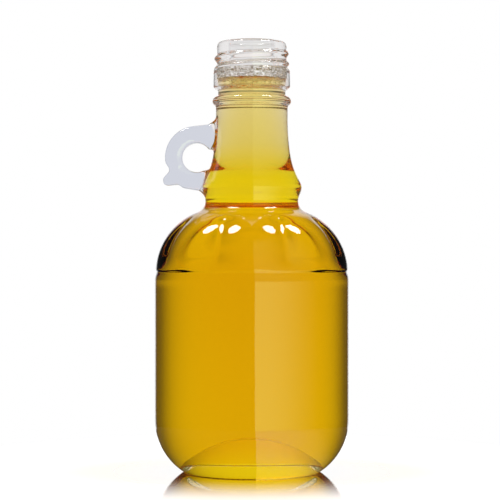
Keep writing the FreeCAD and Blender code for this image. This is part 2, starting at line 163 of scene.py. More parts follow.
# %% Outside outline
def outside_corners():
    foot = BODY_RADIUS - HEEL_RADIUS + math.sqrt(HEEL_RADIUS ** 2 - HEEL_HEIGHT ** 2)
    underside = (FOOT_INNER ** 2 + UNDERSIDE_RISE ** 2) / (2 * UNDERSIDE_RISE)
    ring_round = (RING_HEIGHT ** 2 + RING_DEPTH ** 2) / (2 * RING_DEPTH)
    ring_level = PANEL_TOP + RING_HEIGHT
    shoulder_start = ring_level + RING_LIP
    shoulder_edge = SHOULDER_CENTRE + math.sqrt(
        SHOULDER_RADIUS ** 2 - (shoulder_start - SHOULDER_LEVEL) ** 2)
    share = SHOULDER_RADIUS / (SHOULDER_RADIUS + WAIST_FILLET)
    fillet_across = SHOULDER_CENTRE + CENTRE_GAP * share
    fillet_up = SHOULDER_LEVEL + (WAIST_LEVEL - SHOULDER_LEVEL) * share
    swell = COLLAR_RADIUS - WAIST_RADIUS
    turn = 2 * math.atan(swell / COLLAR_RISE)
    waist_round = COLLAR_RISE / math.sin(turn) - COLLAR_ROUND
    slope = math.atan((COLLAR_RADIUS - NECK_RADIUS) / FLARE_HEIGHT)
    steep, easy = slope * FLARE_CURL, slope * FLARE_EASE
    flare_across = COLLAR_RADIUS - COLLAR_ROUND * (1 - math.cos(steep))
    flare_up = COLLAR_LEVEL + COLLAR_ROUND * math.sin(steep)
    narrowing, rise = flare_across - NECK_RADIUS, FLARE_TOP - flare_up
    lean = math.cos(easy) - math.cos(steep)
    spread = math.sin(steep) - math.sin(easy)
    versine = 1 - math.cos(easy)
    scale = lean * math.sin(easy) - versine * spread
    lower_flare = (narrowing * math.sin(easy) - rise * versine) / scale
    upper_flare = (lean * rise - spread * narrowing) / scale
    bead_round = (((BEAD_HEIGHT ** 2 + (NECK_RADIUS - GROOVE_RADIUS) ** 2) / 4 + BEAD_DEPTH ** 2)
                  / (2 * BEAD_DEPTH))
    return [
        (0, UNDERSIDE_RISE, 0, 0),
        (FOOT_INNER, 0, -underside, 1.7),
        (foot, 0, 0, 0.75),
        (BODY_RADIUS, HEEL_HEIGHT, HEEL_RADIUS, 1.6),
        (BODY_RADIUS, PANEL_TOP, 0, 5),
        (BODY_RADIUS - RING_DEPTH, ring_level, ring_round, 0.6),
        (shoulder_edge, shoulder_start, 0, 0.4),
        (fillet_across, fillet_up, SHOULDER_RADIUS, 1.1),
        (WAIST_RADIUS, WAIST_LEVEL, -WAIST_FILLET, 0.9),
        (WAIST_RADIUS + waist_round * (1 - math.cos(turn)),
         WAIST_LEVEL + waist_round * math.sin(turn), -waist_round, 1.25),
        (COLLAR_RADIUS, COLLAR_LEVEL, COLLAR_ROUND, 1.25),
        (flare_across, flare_up, COLLAR_ROUND, 1.25),
        (NECK_RADIUS + upper_flare * versine, FLARE_TOP - upper_flare * math.sin(easy),
         -lower_flare, 1.25),
        (NECK_RADIUS, FLARE_TOP, -upper_flare, 1.5),
        (NECK_RADIUS, BEAD_LEVEL, 0, 1.5),
        (GROOVE_RADIUS, GROOVE_LEVEL, bead_round, 0.55),
        (GROOVE_RADIUS, GROOVE_LEVEL + GROOVE_HEIGHT, 0, 0.6),
        (BAND_RADIUS, BAND_LEVEL, 0, 0.7),
        (BAND_RADIUS - 0.1, BAND_LEVEL + BAND_HEIGHT, 0, 0.8),
        (THREAD_ROOT, THREAD_LEVEL, 0, 0.6),
        (THREAD_ROOT, LIP_LEVEL, 0, 0.46),
        (THREAD_ROOT - LIP_ROUND, MOUTH_LEVEL, LIP_ROUND, 0.5),
    ]


# %% [markdown]
# ## The inside of the glass
#
# The inside isn't a copy of the outside. The mould shapes the outer skin, and air blows the inner
# one, so it is softer: it passes the collar, the bead and the thread without a mark, and it rises
# over the pushed-up base. The same outline makes the syrup. Given a little growth it runs just
# inside the glass, which leaves no film of air between the two.

# %% Inside outline
def inside_corners(growth=0.0):
    """The cavity's outline from the mouth down to the middle of the floor. growth moves it
    outwards, into the glass."""
    cavity = BODY_RADIUS - WALL
    trough = cavity - CAVITY_HEEL
    rounds = (trough ** 2 + FLOOR_RISE ** 2) / (2 * FLOOR_RISE)
    crown_share = FLOOR_CROWN / rounds
    floor_top = BASE_THICKNESS + FLOOR_RISE
    shoulder = cavity - SHOULDER_CENTRE
    fillet = WAIST_FILLET + SHOULDER_RADIUS - shoulder
    share = shoulder / (SHOULDER_RADIUS + WAIST_FILLET)
    reach, climb = FILLET_CENTRE - NECK_BORE, FLARE_TOP - WAIST_LEVEL
    flare = (reach ** 2 + climb ** 2 - fillet ** 2) / (2 * (reach - fillet))
    flare_centre = Vector((NECK_BORE + flare, 0, FLARE_TOP))
    fillet_centre = Vector((FILLET_CENTRE, 0, WAIST_LEVEL))
    shoulder_centre = Vector((SHOULDER_CENTRE, 0, SHOULDER_LEVEL))
    outwards = (fillet_centre - flare_centre).normalized()
    flare_foot = flare_centre + outwards * (flare - growth)
    outwards = (fillet_centre - shoulder_centre).normalized()
    fillet_foot = shoulder_centre + outwards * (shoulder + growth)
    crown_centre = Vector((0, 0, floor_top - FLOOR_CROWN))
    crown_foot = crown_centre + Vector(
        (trough * crown_share, 0, FLOOR_CROWN - FLOOR_RISE * crown_share)).normalized() * (
        FLOOR_CROWN - growth)
    return [
        (MOUTH_BORE + LIP_INNER, MOUTH_LEVEL, 0, 0.7),
        (MOUTH_BORE, MOUTH_LEVEL - LIP_INNER, LIP_INNER, 0.5),
        (MOUTH_BORE, FROTH_LEVEL, 0, 1.9),
        (MOUTH_BORE + growth, SYRUP_LEVEL, 0, 1.9),
        (MOUTH_BORE + growth, FLARE_TOP + BORE_TAPER, 0, 1.9),
        (NECK_BORE + growth, FLARE_TOP, 0, 1.9),
        (flare_foot.x, flare_foot.z, flare - growth, 2.2),
        (fillet_foot.x, fillet_foot.z, fillet - growth, 1.2),
        (cavity + growth, SHOULDER_LEVEL, -(shoulder + growth), 2.0),
        (cavity + growth, BASE_THICKNESS + CAVITY_HEEL, 0, 5),
        (trough, BASE_THICKNESS - growth, -(CAVITY_HEEL + growth), 1.4),
        (crown_foot.x, crown_foot.z, -(rounds - FLOOR_CROWN + growth), 1.4),
        (0, floor_top - growth, FLOOR_CROWN - growth, 1.5),
    ]


# %% [markdown]
# ## Turning the outline
#
# Both outlines are one closed line from the axis back to the axis, so one full spin gives a
# single watertight skin: outside, lip and inside. The axis points are merged afterwards, and the
# normals are made to face out of the glass once nothing is doubled.

# %% Turn the glass
COLUMNS = 80


def turn_outline(bm, columns):
    """Spin the drawn outline into a closed skin about the upright axis."""
    bmesh.ops.spin(bm, geom=bm.verts[:] + bm.edges[:], cent=(0, 0, 0), axis=(0, 0, 1),
                   angle=math.tau, steps=columns, use_merge=True)
    bmesh.ops.remove_doubles(bm, verts=bm.verts[:], dist=1e-4)
    bmesh.ops.recalc_face_normals(bm, faces=bm.faces[:])


glass = bmesh.new()
draw_outline(glass, outside_corners() + inside_corners())
turn_outline(glass, COLUMNS)
print("glass cage:", len(glass.verts), "points,", len(glass.faces), "faces, open edges:",
      sum(edge.is_boundary for edge in glass.edges))

# %% [markdown]
# ## Where the syrup wets the glass
#
# Light that passes from glass into air is bent and partly thrown back. Light that passes from
# glass into syrup hardly is, because the two bend light almost alike. So the inner skin is marked
# in two parts: dry above the froth, and wet below it. The marked faces take a second material
# that doesn't bend light at all, and the syrup's own skin does the little that is left. The thick
# outside of the screw finish is marked too, since more glass shows a little more colour.

# %% Mark the wet skin
DRY, WET, THICK, FINISH = 0, 1, 2, 3
wet_faces = 0
for face in glass.faces:
    centre = face.calc_center_median()
    inwards = -(face.normal.x * centre.x + face.normal.y * centre.y)
    wall = inwards > 0.05 * centre.xy.length and centre.z > UNDERSIDE_RISE + 2
    floor = face.normal.z > 0.3 and centre.z < BASE_THICKNESS + CAVITY_HEEL
    if (wall or floor) and centre.z < FROTH_LEVEL:
        face.material_index = WET
        wet_faces += 1
    elif not wall and centre.z > SYRUP_LEVEL:
        face.material_index = FINISH
    else:
        face.material_index = DRY
print("wet faces:", wet_faces, "of", len(glass.faces))

# %% [markdown]
# ## The shoulder's lobes
#
# Eight soft lobes run down the shoulder with a narrow valley between each two. Cutting valleys
# with a boolean would leave hard rims. The glass flows, so the turned skin is pressed in
# instead: each lobe is rounder than the shoulder, like the side of a smaller circle, and the
# valley is where two of them meet. The press fades out towards the ring and towards the waist.

# %% Press the lobes
LOBES = 8
LOBE_OFFSET, VALLEY_SHARPNESS = 0.43, 0.9
LOBE_FADE_IN = (math.radians(1), math.radians(13))
LOBE_FADE_OUT = (math.radians(50), math.radians(67))


def ease(value, start, end):
    """0 before start, 1 after end, and a smooth rise between."""
    share = min(max((value - start) / (end - start), 0), 1)
    return share * share * (3 - 2 * share)


def lobe_press(radius, azimuth):
    """How far the surface lies inside the plain shoulder at an azimuth."""
    spread = math.tau / LOBES
    beside = (azimuth + spread / 2) % spread - spread / 2
    offset = LOBE_OFFSET * radius
    lobe = offset * math.cos(beside) + math.sqrt(
        (radius - offset) ** 2 - (offset * math.sin(beside)) ** 2)
    return radius - lobe


pressed = 0
valley = {}
for vert in glass.verts:
    radius = math.hypot(vert.co.x, vert.co.y)
    up_turn = math.atan2(vert.co.z - SHOULDER_LEVEL, radius - SHOULDER_CENTRE)
    from_centre = math.hypot(vert.co.z - SHOULDER_LEVEL, radius - SHOULDER_CENTRE)
    if from_centre < SHOULDER_RADIUS - WALL / 4 or vert.co.z < PANEL_TOP + RING_HEIGHT:
        continue
    fade = ease(up_turn, *LOBE_FADE_IN) * (1 - ease(up_turn, *LOBE_FADE_OUT))
    if fade > 0 and vert.co.z < WAIST_LEVEL:
        azimuth = math.atan2(vert.co.y, vert.co.x)
        press = lobe_press(radius, azimuth) * fade
        vert.co.x -= press * vert.co.x / radius
        vert.co.y -= press * vert.co.y / radius
        pressed += 1
        if abs(math.sin(azimuth * LOBES / 2 - math.pi / 2)) < 0.01:
            valley[vert] = fade
creases = glass.edges.layers.float.new("crease_edge")
for edge in glass.edges:
    if all(vert in valley for vert in edge.verts):
        edge[creases] = VALLEY_SHARPNESS * min(valley[vert] for vert in edge.verts)
print("points pressed into lobes:", pressed, "and in the valleys:", len(valley))

# %% [markdown]
# ## The screw thread
#
# The thread is one rounded ridge that climbs to the right, a turn and a half of it. It could be
# swept along a helix and joined on, but on glass it has no edge where it starts: it swells out of
# the land and sinks back. So it is raised in the same way as the lobes are pressed, by moving
# points outwards by how near they are to the helix.

# %% Raise the thread
THREAD_PITCH, THREAD_DEPTH, THREAD_HALF_WIDTH = 3.6, 1.05, 1.35
THREAD_TOP_TURN, THREAD_FOOT_TURN = math.radians(15), math.radians(-560)
THREAD_RUN_OUT = math.radians(28)
THREAD_CREST = THREAD_LEVEL + 4.7


def thread_height(azimuth, level):
    """How far the ridge stands out at one point of the land."""
    height = 0.0
    for lap in range(3):
        turn = azimuth - lap * math.tau
        crest = THREAD_CREST + THREAD_PITCH * turn / math.tau
        aside = abs(level - crest) / THREAD_HALF_WIDTH
        if aside < 1 and THREAD_FOOT_TURN < turn < THREAD_TOP_TURN:
            run_out = ease(THREAD_TOP_TURN - turn, 0, THREAD_RUN_OUT)
            height = max(height, THREAD_DEPTH * run_out * math.cos(aside * math.pi / 2) ** 1.3)
    return height


raised = 0
for vert in glass.verts:
    radius = math.hypot(vert.co.x, vert.co.y)
    if radius < THREAD_ROOT - 0.2 or not THREAD_LEVEL - 1 < vert.co.z < LIP_LEVEL + 0.1:
        continue
    height = thread_height(math.atan2(vert.co.y, vert.co.x), vert.co.z)
    height = max(THREAD_ROOT + height - radius, 0)
    vert.co.x += height * vert.co.x / radius
    vert.co.y += height * vert.co.y / radius
    raised += height > 0
print("points raised into the thread:", raised)

# %% [markdown]
# ## The knurled foot
#
# A bottle stands on fine bars pressed across its foot, which keep the hot glass off the belt.
# They need more columns than the rest of the bottle. Only the faces of the foot are divided
# round the bottle, and every second column is lifted a little.

# %% Knurl the foot
KNURL_LIFT, KNURL_CEILING, KNURL_START = 0.3, 0.9, FOOT_INNER - 1.5
KNURL_RISE, KNURL_FALL = (KNURL_START, FOOT_INNER + 0.4), (24.2, 26.0)
foot_edges = [
    edge for edge in glass.edges
    if all(vert.co.z < KNURL_CEILING and math.hypot(vert.co.x, vert.co.y) > KNURL_START
           for vert in edge.verts)
    and abs(math.hypot(*edge.verts[0].co.xy) - math.hypot(*edge.verts[1].co.xy)) < 0.01]
bmesh.ops.subdivide_edges(glass, edges=foot_edges, cuts=1, use_grid_fill=True)
knurls = 0
for vert in glass.verts:
    radius = math.hypot(vert.co.x, vert.co.y)
    if vert.co.z > KNURL_CEILING or radius < KNURL_START:
        continue
    column = round(math.atan2(vert.co.y, vert.co.x) / math.tau * COLUMNS * 2)
    if column % 2:
        fade = ease(radius, *KNURL_RISE) * (1 - ease(radius, *KNURL_FALL))
        vert.co.z += KNURL_LIFT * fade
        knurls += 1
print("points lifted in the foot:", knurls)

# %% [markdown]
# ## The finger loop
#
# The loop is moulded with the bottle, so its glass is one with the neck's. A boolean would join
# the two with a hard crease. Here the neck is opened with two windows, a rounded section is spun
# about the hole's axis, its rim is pulled out to the loop's outline with a thumb spur at the
# bottom, and its two ends are bridged to the windows. The subdivision then draws the joints into
# soft fillets, as the mould does.

# %% Open two windows in the neck
UPPER_WINDOW, LOWER_WINDOW = (115.6, 8, 7), (99.4, 6, 9)


def open_window(bm, foot, columns, rows):
    """Take a patch of faces out of the neck's outer skin on the loop's side. Gives its rim."""
    half = columns / 2 * math.tau / COLUMNS

    def on_patch(face):
        centre = face.calc_center_median()
        aside = math.pi - abs(math.atan2(centre.y, centre.x))
        return face.material_index != WET and aside < half and foot < centre.z < SYRUP_LEVEL

    column = sorted((face for face in bm.faces if on_patch(face)),
                    key=lambda face: round(face.calc_center_median().z, 2))
    patch = column[:columns * rows]
    counted = {}
    for face in patch:
        for edge in face.edges:
            counted[edge] = counted.get(edge, 0) + 1
    rim = [edge for edge, count in counted.items() if count == 1]
    levels = [vert.co.z for edge in rim for vert in edge.verts]
    print("window of", len(patch), "faces and", len(rim), "rim edges, from",
          round(min(levels), 1), "to", round(max(levels), 1))
    bmesh.ops.delete(bm, geom=patch, context="FACES")
    return rim


upper_rim = open_window(glass, *UPPER_WINDOW)
lower_rim = open_window(glass, *LOWER_WINDOW)

# %% Spin the loop's section
HOLE_REACH, HOLE_LEVEL, HOLE_RADIUS = 19.8, WAIST_LEVEL + 15.8, 5.2
LOOP_WIDTH, LOOP_THICKNESS = 6.3, 7.6
RIM = HOLE_RADIUS + LOOP_WIDTH
SECTION_POINTS, LOOP_STEPS, SQUARENESS = 30, 76, 6.0
RIM_START, RIM_END = math.radians(110), math.radians(-95)
HOLE_START, HOLE_END = math.radians(146), math.radians(-118)


def loop_point(turn, out, across):
    """A point of the loop from its angle, its distance from the hole's axis and its side."""
    return Vector((-(HOLE_REACH + out * math.cos(turn)), across, HOLE_LEVEL + out * math.sin(turn)))


skin = set(glass.verts)
section = bmesh.ops.create_circle(glass, segments=SECTION_POINTS, radius=1)["verts"]
for vert in section:
    squared = (abs(vert.co.x) ** SQUARENESS + abs(vert.co.y) ** SQUARENESS) ** (-1 / SQUARENESS)
    vert.co = loop_point(RIM_START, HOLE_RADIUS + LOOP_WIDTH * (1 + vert.co.y * squared) / 2,
                         vert.co.x * squared * LOOP_THICKNESS / 2)
section_rim = list({edge for vert in section for edge in vert.link_edges})
swept = bmesh.ops.spin(glass, geom=section + section_rim, cent=(-HOLE_REACH, 0, HOLE_LEVEL),
                       axis=(0, -1, 0), angle=RIM_START - RIM_END, steps=LOOP_STEPS)
section_end = [edge for edge in swept["geom_last"] if isinstance(edge, bmesh.types.BMEdge)]
loop_verts = [vert for vert in glass.verts if vert not in skin]
print("loop points:", len(loop_verts), "lowest", round(min(v.co.z for v in loop_verts), 1))

# %% [markdown]
# ## The loop's outline
#
# The spun ring is round. The real one has a roof that falls gently away from the neck, a thumb
# spur below, a small notch above the spur and a floor that falls towards the neck. Each point is
# moved along its own ray from the hole's axis, the rim by the full amount and the hole's edge not
# at all. The ends are also turned on by a further angle at the hole, because the hole reaches
# closer to the neck than the rim does.

# %% Shape the loop
ROOF_TURN, FLOOR_TURN, FLOOR_REACH = math.radians(84), math.radians(-80.5), 11.66
SPUR_TURN, SPUR_REACH, SPUR_RADIUS = math.radians(-38.4), 12.88, 2.15
NOTCH_TURN, NOTCH_SPREAD, NOTCH_DEPTH = math.radians(-20), math.radians(7), 0.7
DIP_TURN, DIP_SPREAD, DIP_DEPTH = math.radians(-55), math.radians(7), 1.0


def rim_reach(turn):
    """The distance from the hole's axis to the loop's rim, by the angle above straight out."""
    if turn > ROOF_TURN:
        return RIM / math.cos(turn - ROOF_TURN)
    ring = RIM if turn > SPUR_TURN else FLOOR_REACH / math.cos(turn - FLOOR_TURN)
    ring -= NOTCH_DEPTH * math.exp(-((turn - NOTCH_TURN) / NOTCH_SPREAD) ** 2)
    ring -= DIP_DEPTH * math.exp(-((turn - DIP_TURN) / DIP_SPREAD) ** 2)
    aside = SPUR_REACH * math.sin(turn - SPUR_TURN)
    if abs(aside) < SPUR_RADIUS:
        spur = SPUR_REACH * math.cos(turn - SPUR_TURN) + math.sqrt(SPUR_RADIUS ** 2 - aside ** 2)
        return max(ring, spur)
    return ring


for vert in loop_verts:
    across, up = -(vert.co.x + HOLE_REACH), vert.co.z - HOLE_LEVEL
    share = (math.hypot(across, up) - HOLE_RADIUS) / LOOP_WIDTH
    along = (math.atan2(up, across) - RIM_END) / (RIM_START - RIM_END)
    start = HOLE_START + (RIM_START - HOLE_START) * share
    end = HOLE_END + (RIM_END - HOLE_END) * share
    turn = end + (start - end) * along
    rim = rim_reach(turn)
    vert.co = loop_point(turn, HOLE_RADIUS + share * (rim - HOLE_RADIUS), vert.co.y)

# %% Join the loop to the neck
for face in {face for vert in loop_verts for face in vert.link_faces}:
    face.material_index = THICK
bmesh.ops.bridge_loops(glass, edges=upper_rim + section_rim)
bmesh.ops.bridge_loops(glass, edges=lower_rim + section_end)
bmesh.ops.recalc_face_normals(glass, faces=glass.faces[:])
print("glass cage with the loop:", len(glass.faces), "faces, open edges:",
      sum(not edge.is_manifold for edge in glass.edges))

# %% [markdown]
# ## Finishing a piece
#
# Each bmesh is drawn in millimetres. It's brought to metres and given its materials. A piece of the
# bottle also gets smooth faces and the body it rides on. A subdivision modifier then rounds the
# cage, as it would round a cast in wax.

# %% Finish a piece
def cast_object(bm, name, materials):
    """Turn a bmesh in millimetres into an object in metres."""
    bmesh.ops.transform(bm, matrix=Matrix.Scale(TO_METRES, 4), verts=bm.verts[:])
    mesh = bpy.data.meshes.new(name)
    bm.to_mesh(mesh)
    bm.free()
    for material in materials:
        mesh.materials.append(material)
    cast = bpy.data.objects.new(name, mesh)
    bpy.context.scene.collection.objects.link(cast)
    return cast


def finish_piece(bm, name, materials, levels=1):
    """Make a piece of the bottle, rounded and riding on the part's body."""
    piece = cast_object(bm, name, materials)
    piece.data.shade_smooth()
    if levels:
        rounding = piece.modifiers.new("rounding", "SUBSURF")
        rounding.levels = rounding.render_levels = levels
        rounding.boundary_smooth = "PRESERVE_CORNERS"
    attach(piece, "root")
    print(name, len(piece.data.polygons), "faces in the cage")
    return piece


def noise_node(nodes, links, vector, scale, detail=2.0):
    clouds = nodes.new("ShaderNodeTexNoise")
    clouds.inputs["Scale"].default_value = scale
    clouds.inputs["Detail"].default_value = detail
    links.new(vector, clouds.inputs["Vector"])
    return clouds.outputs["Fac"]


def blend_node(nodes, links, factor, first, second):
    blend = nodes.new("ShaderNodeMix")
    blend.data_type = "RGBA"
    for socket, value in ((blend.inputs["Factor"], factor), (blend.inputs["A"], first),
                          (blend.inputs["B"], second)):
        if isinstance(value, bpy.types.NodeSocket):
            links.new(value, socket)
        else:
            socket.default_value = value
    return blend.outputs["Result"]


def cloudy_shade(nodes, links, first, second, scale=60.0):
    """A colour that drifts between two near shades over the surface."""
    place = nodes.new("ShaderNodeTexCoord").outputs["Object"]
    return blend_node(nodes, links, noise_node(nodes, links, place, scale), (*first, 1),
                      (*second, 1))


# %% [markdown]
# ## Blown glass
#
# Bottle glass is clear, but a blown and moulded skin is never quite flat. It has long shallow waves
# where the gather cooled unevenly, and a trace of green-grey in its thick parts. The dry glass, the
# finish and the loop share both, so they are one node group that puts out a colour, a roughness and
# a normal. The waves are read from Object coordinates, so they stay put when the camera moves.

# %% The shared glass skin
def new_group(name, inputs, outputs):
    group = bpy.data.node_groups.new(name, "ShaderNodeTree")
    for socket, kind, value in inputs:
        made = group.interface.new_socket(socket, in_out="INPUT", socket_type=kind)
        made.default_value = value
    for socket, kind in outputs:
        group.interface.new_socket(socket, in_out="OUTPUT", socket_type=kind)
    return group, group.nodes.new("NodeGroupInput"), group.nodes.new("NodeGroupOutput")


def blown_skin_group():
    group, given, put_out = new_group(
        "blown skin",
        [("Wave Size", "NodeSocketFloat", 90.0), ("Wave Strength", "NodeSocketFloat", 0.2),
         ("Tint", "NodeSocketColor", (1, 1, 1, 1))],
        [("Colour", "NodeSocketColor"), ("Roughness", "NodeSocketFloat"),
         ("Normal", "NodeSocketVector")])
    nodes, links = group.nodes, group.links
    place = nodes.new("ShaderNodeTexCoord").outputs["Object"]
    waves = nodes.new("ShaderNodeTexNoise")
    waves.inputs["Detail"].default_value = 1.0
    links.new(place, waves.inputs["Vector"])
    links.new(given.outputs["Wave Size"], waves.inputs["Scale"])
    bump = nodes.new("ShaderNodeBump")
    bump.inputs["Distance"].default_value = 0.0004
    links.new(given.outputs["Wave Strength"], bump.inputs["Strength"])
    links.new(waves.outputs["Fac"], bump.inputs["Height"])
    links.new(bump.outputs["Normal"], put_out.inputs["Normal"])
    tint = nodes.new("ShaderNodeMix")
    tint.data_type = "RGBA"
    tint.inputs["A"].default_value = (0.985, 0.99, 1.0, 1)
    tint.inputs["B"].default_value = (0.965, 0.975, 0.985, 1)
    links.new(noise_node(nodes, links, place, 35.0), tint.inputs["Factor"])
    tinted = nodes.new("ShaderNodeMix")
    tinted.data_type, tinted.blend_type = "RGBA", "MULTIPLY"
    tinted.inputs["Factor"].default_value = 1.0
    links.new(tint.outputs["Result"], tinted.inputs["A"])
    links.new(given.outputs["Tint"], tinted.inputs["B"])
    links.new(tinted.outputs["Result"], put_out.inputs["Colour"])
    haze = nodes.new("ShaderNodeMapRange")
    haze.inputs["To Min"].default_value = 0.0
    haze.inputs["To Max"].default_value = 0.012
    links.new(noise_node(nodes, links, place, 260.0), haze.inputs["Value"])
    links.new(haze.outputs["Result"], put_out.inputs["Roughness"])
    return group


BLOWN_SKIN = blown_skin_group()


def clear_material(name, ior, passes=(1, 1, 1), skin=None, wave_size=90.0, wave_strength=0.2,
                   tint=(1, 1, 1), shades=None):
    """A clear material. passes is the light that gets through to what lies in its shadow."""
    material = bpy.data.materials.new(name)
    material.use_nodes = True
    nodes, links = material.node_tree.nodes, material.node_tree.links
    surface = nodes["Principled BSDF"]
    surface.inputs["Transmission Weight"].default_value = 1.0
    surface.inputs["IOR"].default_value = ior
    surface.inputs["Roughness"].default_value = 0.0
    if shades:
        links.new(cloudy_shade(nodes, links, *shades), surface.inputs["Base Color"])
    passed = nodes.new("ShaderNodeBsdfTransparent")
    passed.inputs["Color"].default_value = (*passes, 1)
    shadowed = nodes.new("ShaderNodeMixShader")
    links.new(nodes.new("ShaderNodeLightPath").outputs["Is Shadow Ray"], shadowed.inputs["Fac"])
    links.new(surface.outputs["BSDF"], shadowed.inputs[1])
    links.new(passed.outputs["BSDF"], shadowed.inputs[2])
    links.new(shadowed.outputs["Shader"], nodes["Material Output"].inputs["Surface"])
    if skin:
        worn = nodes.new("ShaderNodeGroup")
        worn.node_tree = skin
        worn.inputs["Wave Size"].default_value = wave_size
        worn.inputs["Wave Strength"].default_value = wave_strength
        worn.inputs["Tint"].default_value = (*tint, 1)
        links.new(worn.outputs["Colour"], surface.inputs["Base Color"])
        links.new(worn.outputs["Roughness"], surface.inputs["Roughness"])
        links.new(worn.outputs["Normal"], surface.inputs["Normal"])
    return material


GLASS_BENDS, SYRUP_BENDS, SYRUP_IN_GLASS = 1.52, 1.46, 0.965
dry_glass = clear_material("dry glass", GLASS_BENDS, (0.93, 0.93, 0.93), BLOWN_SKIN,
                           wave_strength=0.06)
wet_glass = clear_material("wet glass", 1.0, shades=((1, 1, 1), (0.99, 0.99, 0.985)))
thick_glass = clear_material("thick glass", GLASS_BENDS, (0.9, 0.92, 0.95), BLOWN_SKIN,
                             wave_size=140.0, wave_strength=0.1, tint=(0.75, 0.81, 0.92))
finish_glass = clear_material("finish glass", GLASS_BENDS, (0.93, 0.93, 0.93), BLOWN_SKIN,
                              wave_size=140.0, wave_strength=0.1, tint=(0.95, 0.98, 1.0))

# %% The bottle
bottle = finish_piece(glass, "bottle_glass", [dry_glass, wet_glass, thick_glass, finish_glass])
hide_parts("bottle")

# %% [markdown]
# ## The syrup
#
# The syrup fills the bottle up into the screw finish. It's turned from the inside outline, a
# little grown, so that it ends within the glass. Where it meets the glass it creeps up in a thin
# rim, and the froth on it leaves the surface uneven.
#
# Real syrup takes blue, and a little green, out of the light for each millimetre that the light
# crosses, so the neck comes out pale and the body deep. Absorption does this here too. It can't do
# all of it, so the skin of the syrup also carries painted light and shade, set by height: a deep
# painted shade in the body, a lighter painted gold at the waist, and nearly clear at the top.

# %% Turn the syrup
GROWTH = 0.15
CREEP, CREEP_WIDTH = 0.7, 1.6


def syrup_corners():
    below = [corner for corner in inside_corners(GROWTH) if corner[1] < SYRUP_LEVEL]
    wall = MOUTH_BORE + GROWTH
    return [(0, SYRUP_LEVEL - CREEP, 0, 0), (wall - CREEP_WIDTH, SYRUP_LEVEL - CREEP, 0, 0.5),
            (wall, SYRUP_LEVEL, 2.4, 0.35), *below]


syrup = bmesh.new()
draw_outline(syrup, syrup_corners())
turn_outline(syrup, COLUMNS)
print("syrup cage:", len(syrup.faces), "faces, open edges:",
      sum(edge.is_boundary for edge in syrup.edges))

# %% Ruffle the surface under the froth
RUFFLE_HEIGHT, RUFFLE_SPREAD = 0.45, 1.7
top_faces = 0
for face in syrup.faces:
    face.material_index = int(face.normal.z > 0.35 and face.calc_center_median().z > FLARE_TOP)
    top_faces += face.material_index
for vert in syrup.verts:
    if vert.co.z > SYRUP_LEVEL - CREEP - 0.3:
        place = Vector((vert.co.x, vert.co.y, 0)) / RUFFLE_SPREAD
        inside = 1 - ease(vert.co.xy.length, MOUTH_BORE - 0.2, MOUTH_BORE + 0.1)
        vert.co.z += RUFFLE_HEIGHT * noise.noise(place) * max(inside, 0.45) - 0.1
print("faces of the open surface:", top_faces)

# %% The syrup's colour
SYRUP_SHADE = (0.98, 0.92, 0.6)
syrup_side = clear_material("syrup against glass", SYRUP_IN_GLASS, SYRUP_SHADE)
syrup_open = clear_material("syrup surface", SYRUP_BENDS, SYRUP_SHADE,
                           shades=((1, 0.99, 0.95), (0.97, 0.93, 0.8)))
# Painted light and shade by height on the syrup's skin: a deep painted shade in the body, a lighter
# painted band at the waist, and nearly clear at the top.
SYRUP_PAINTED_SHADES = (
    (0.004, (0.96, 0.80, 0.03)), (0.022, (0.98, 0.81, 0.03)), (0.070, (0.95, 0.74, 0.03)),
    (0.095, (1.0, 0.9, 0.03)), (0.1015, (0.97, 0.85, 0.04)), (0.105, (0.90, 0.80, 0.06)),
    (0.1106, (0.88, 0.78, 0.27)), (0.118, (0.87, 0.80, 0.7)), (0.129, (0.89, 0.84, 1.0)))
SYRUP_LETS_THROUGH, SYRUP_STRENGTH = (0.97, 0.89, 0.0, 1), 82.0
nodes, links = syrup_side.node_tree.nodes, syrup_side.node_tree.links
place = nodes.new("ShaderNodeSeparateXYZ")
links.new(nodes.new("ShaderNodeTexCoord").outputs["Object"], place.inputs["Vector"])
climb = nodes.new("ShaderNodeMapRange")
climb.inputs["From Max"].default_value = SYRUP_PAINTED_SHADES[-1][0]
links.new(place.outputs["Z"], climb.inputs["Value"])
# The ramp of painted light and shade, read by height.
painted_shade_ramp = nodes.new("ShaderNodeValToRGB")
stops = painted_shade_ramp.color_ramp.elements
for _ in SYRUP_PAINTED_SHADES[2:]:
    stops.new(0.5)
for stop, (level, shade) in zip(stops, SYRUP_PAINTED_SHADES):
    stop.position, stop.color = level / SYRUP_PAINTED_SHADES[-1][0], (*shade, 1)
links.new(climb.outputs["Result"], painted_shade_ramp.inputs["Fac"])
links.new(painted_shade_ramp.outputs["Color"], nodes["Principled BSDF"].inputs["Base Color"])
for material in (syrup_side, syrup_open):
    nodes, links = material.node_tree.nodes, material.node_tree.links
    depth = nodes.new("ShaderNodeVolumeAbsorption")
    depth.inputs["Color"].default_value = SYRUP_LETS_THROUGH
    depth.inputs["Density"].default_value = SYRUP_STRENGTH
    links.new(depth.outputs["Volume"], nodes["Material Output"].inputs["Volume"])
syrup_piece = finish_piece(syrup, "golden_syrup", [syrup_side, syrup_open])
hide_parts("syrup")

# %% [markdown]
# ## The froth
#
# Filling leaves a band of fine froth, which clings to the glass just above the syrup. Each bubble
# is a small sphere, and there are two thousand, so each has few faces. They are strewn with a
# fixed seed: most of them on the wall, the rest over the syrup.

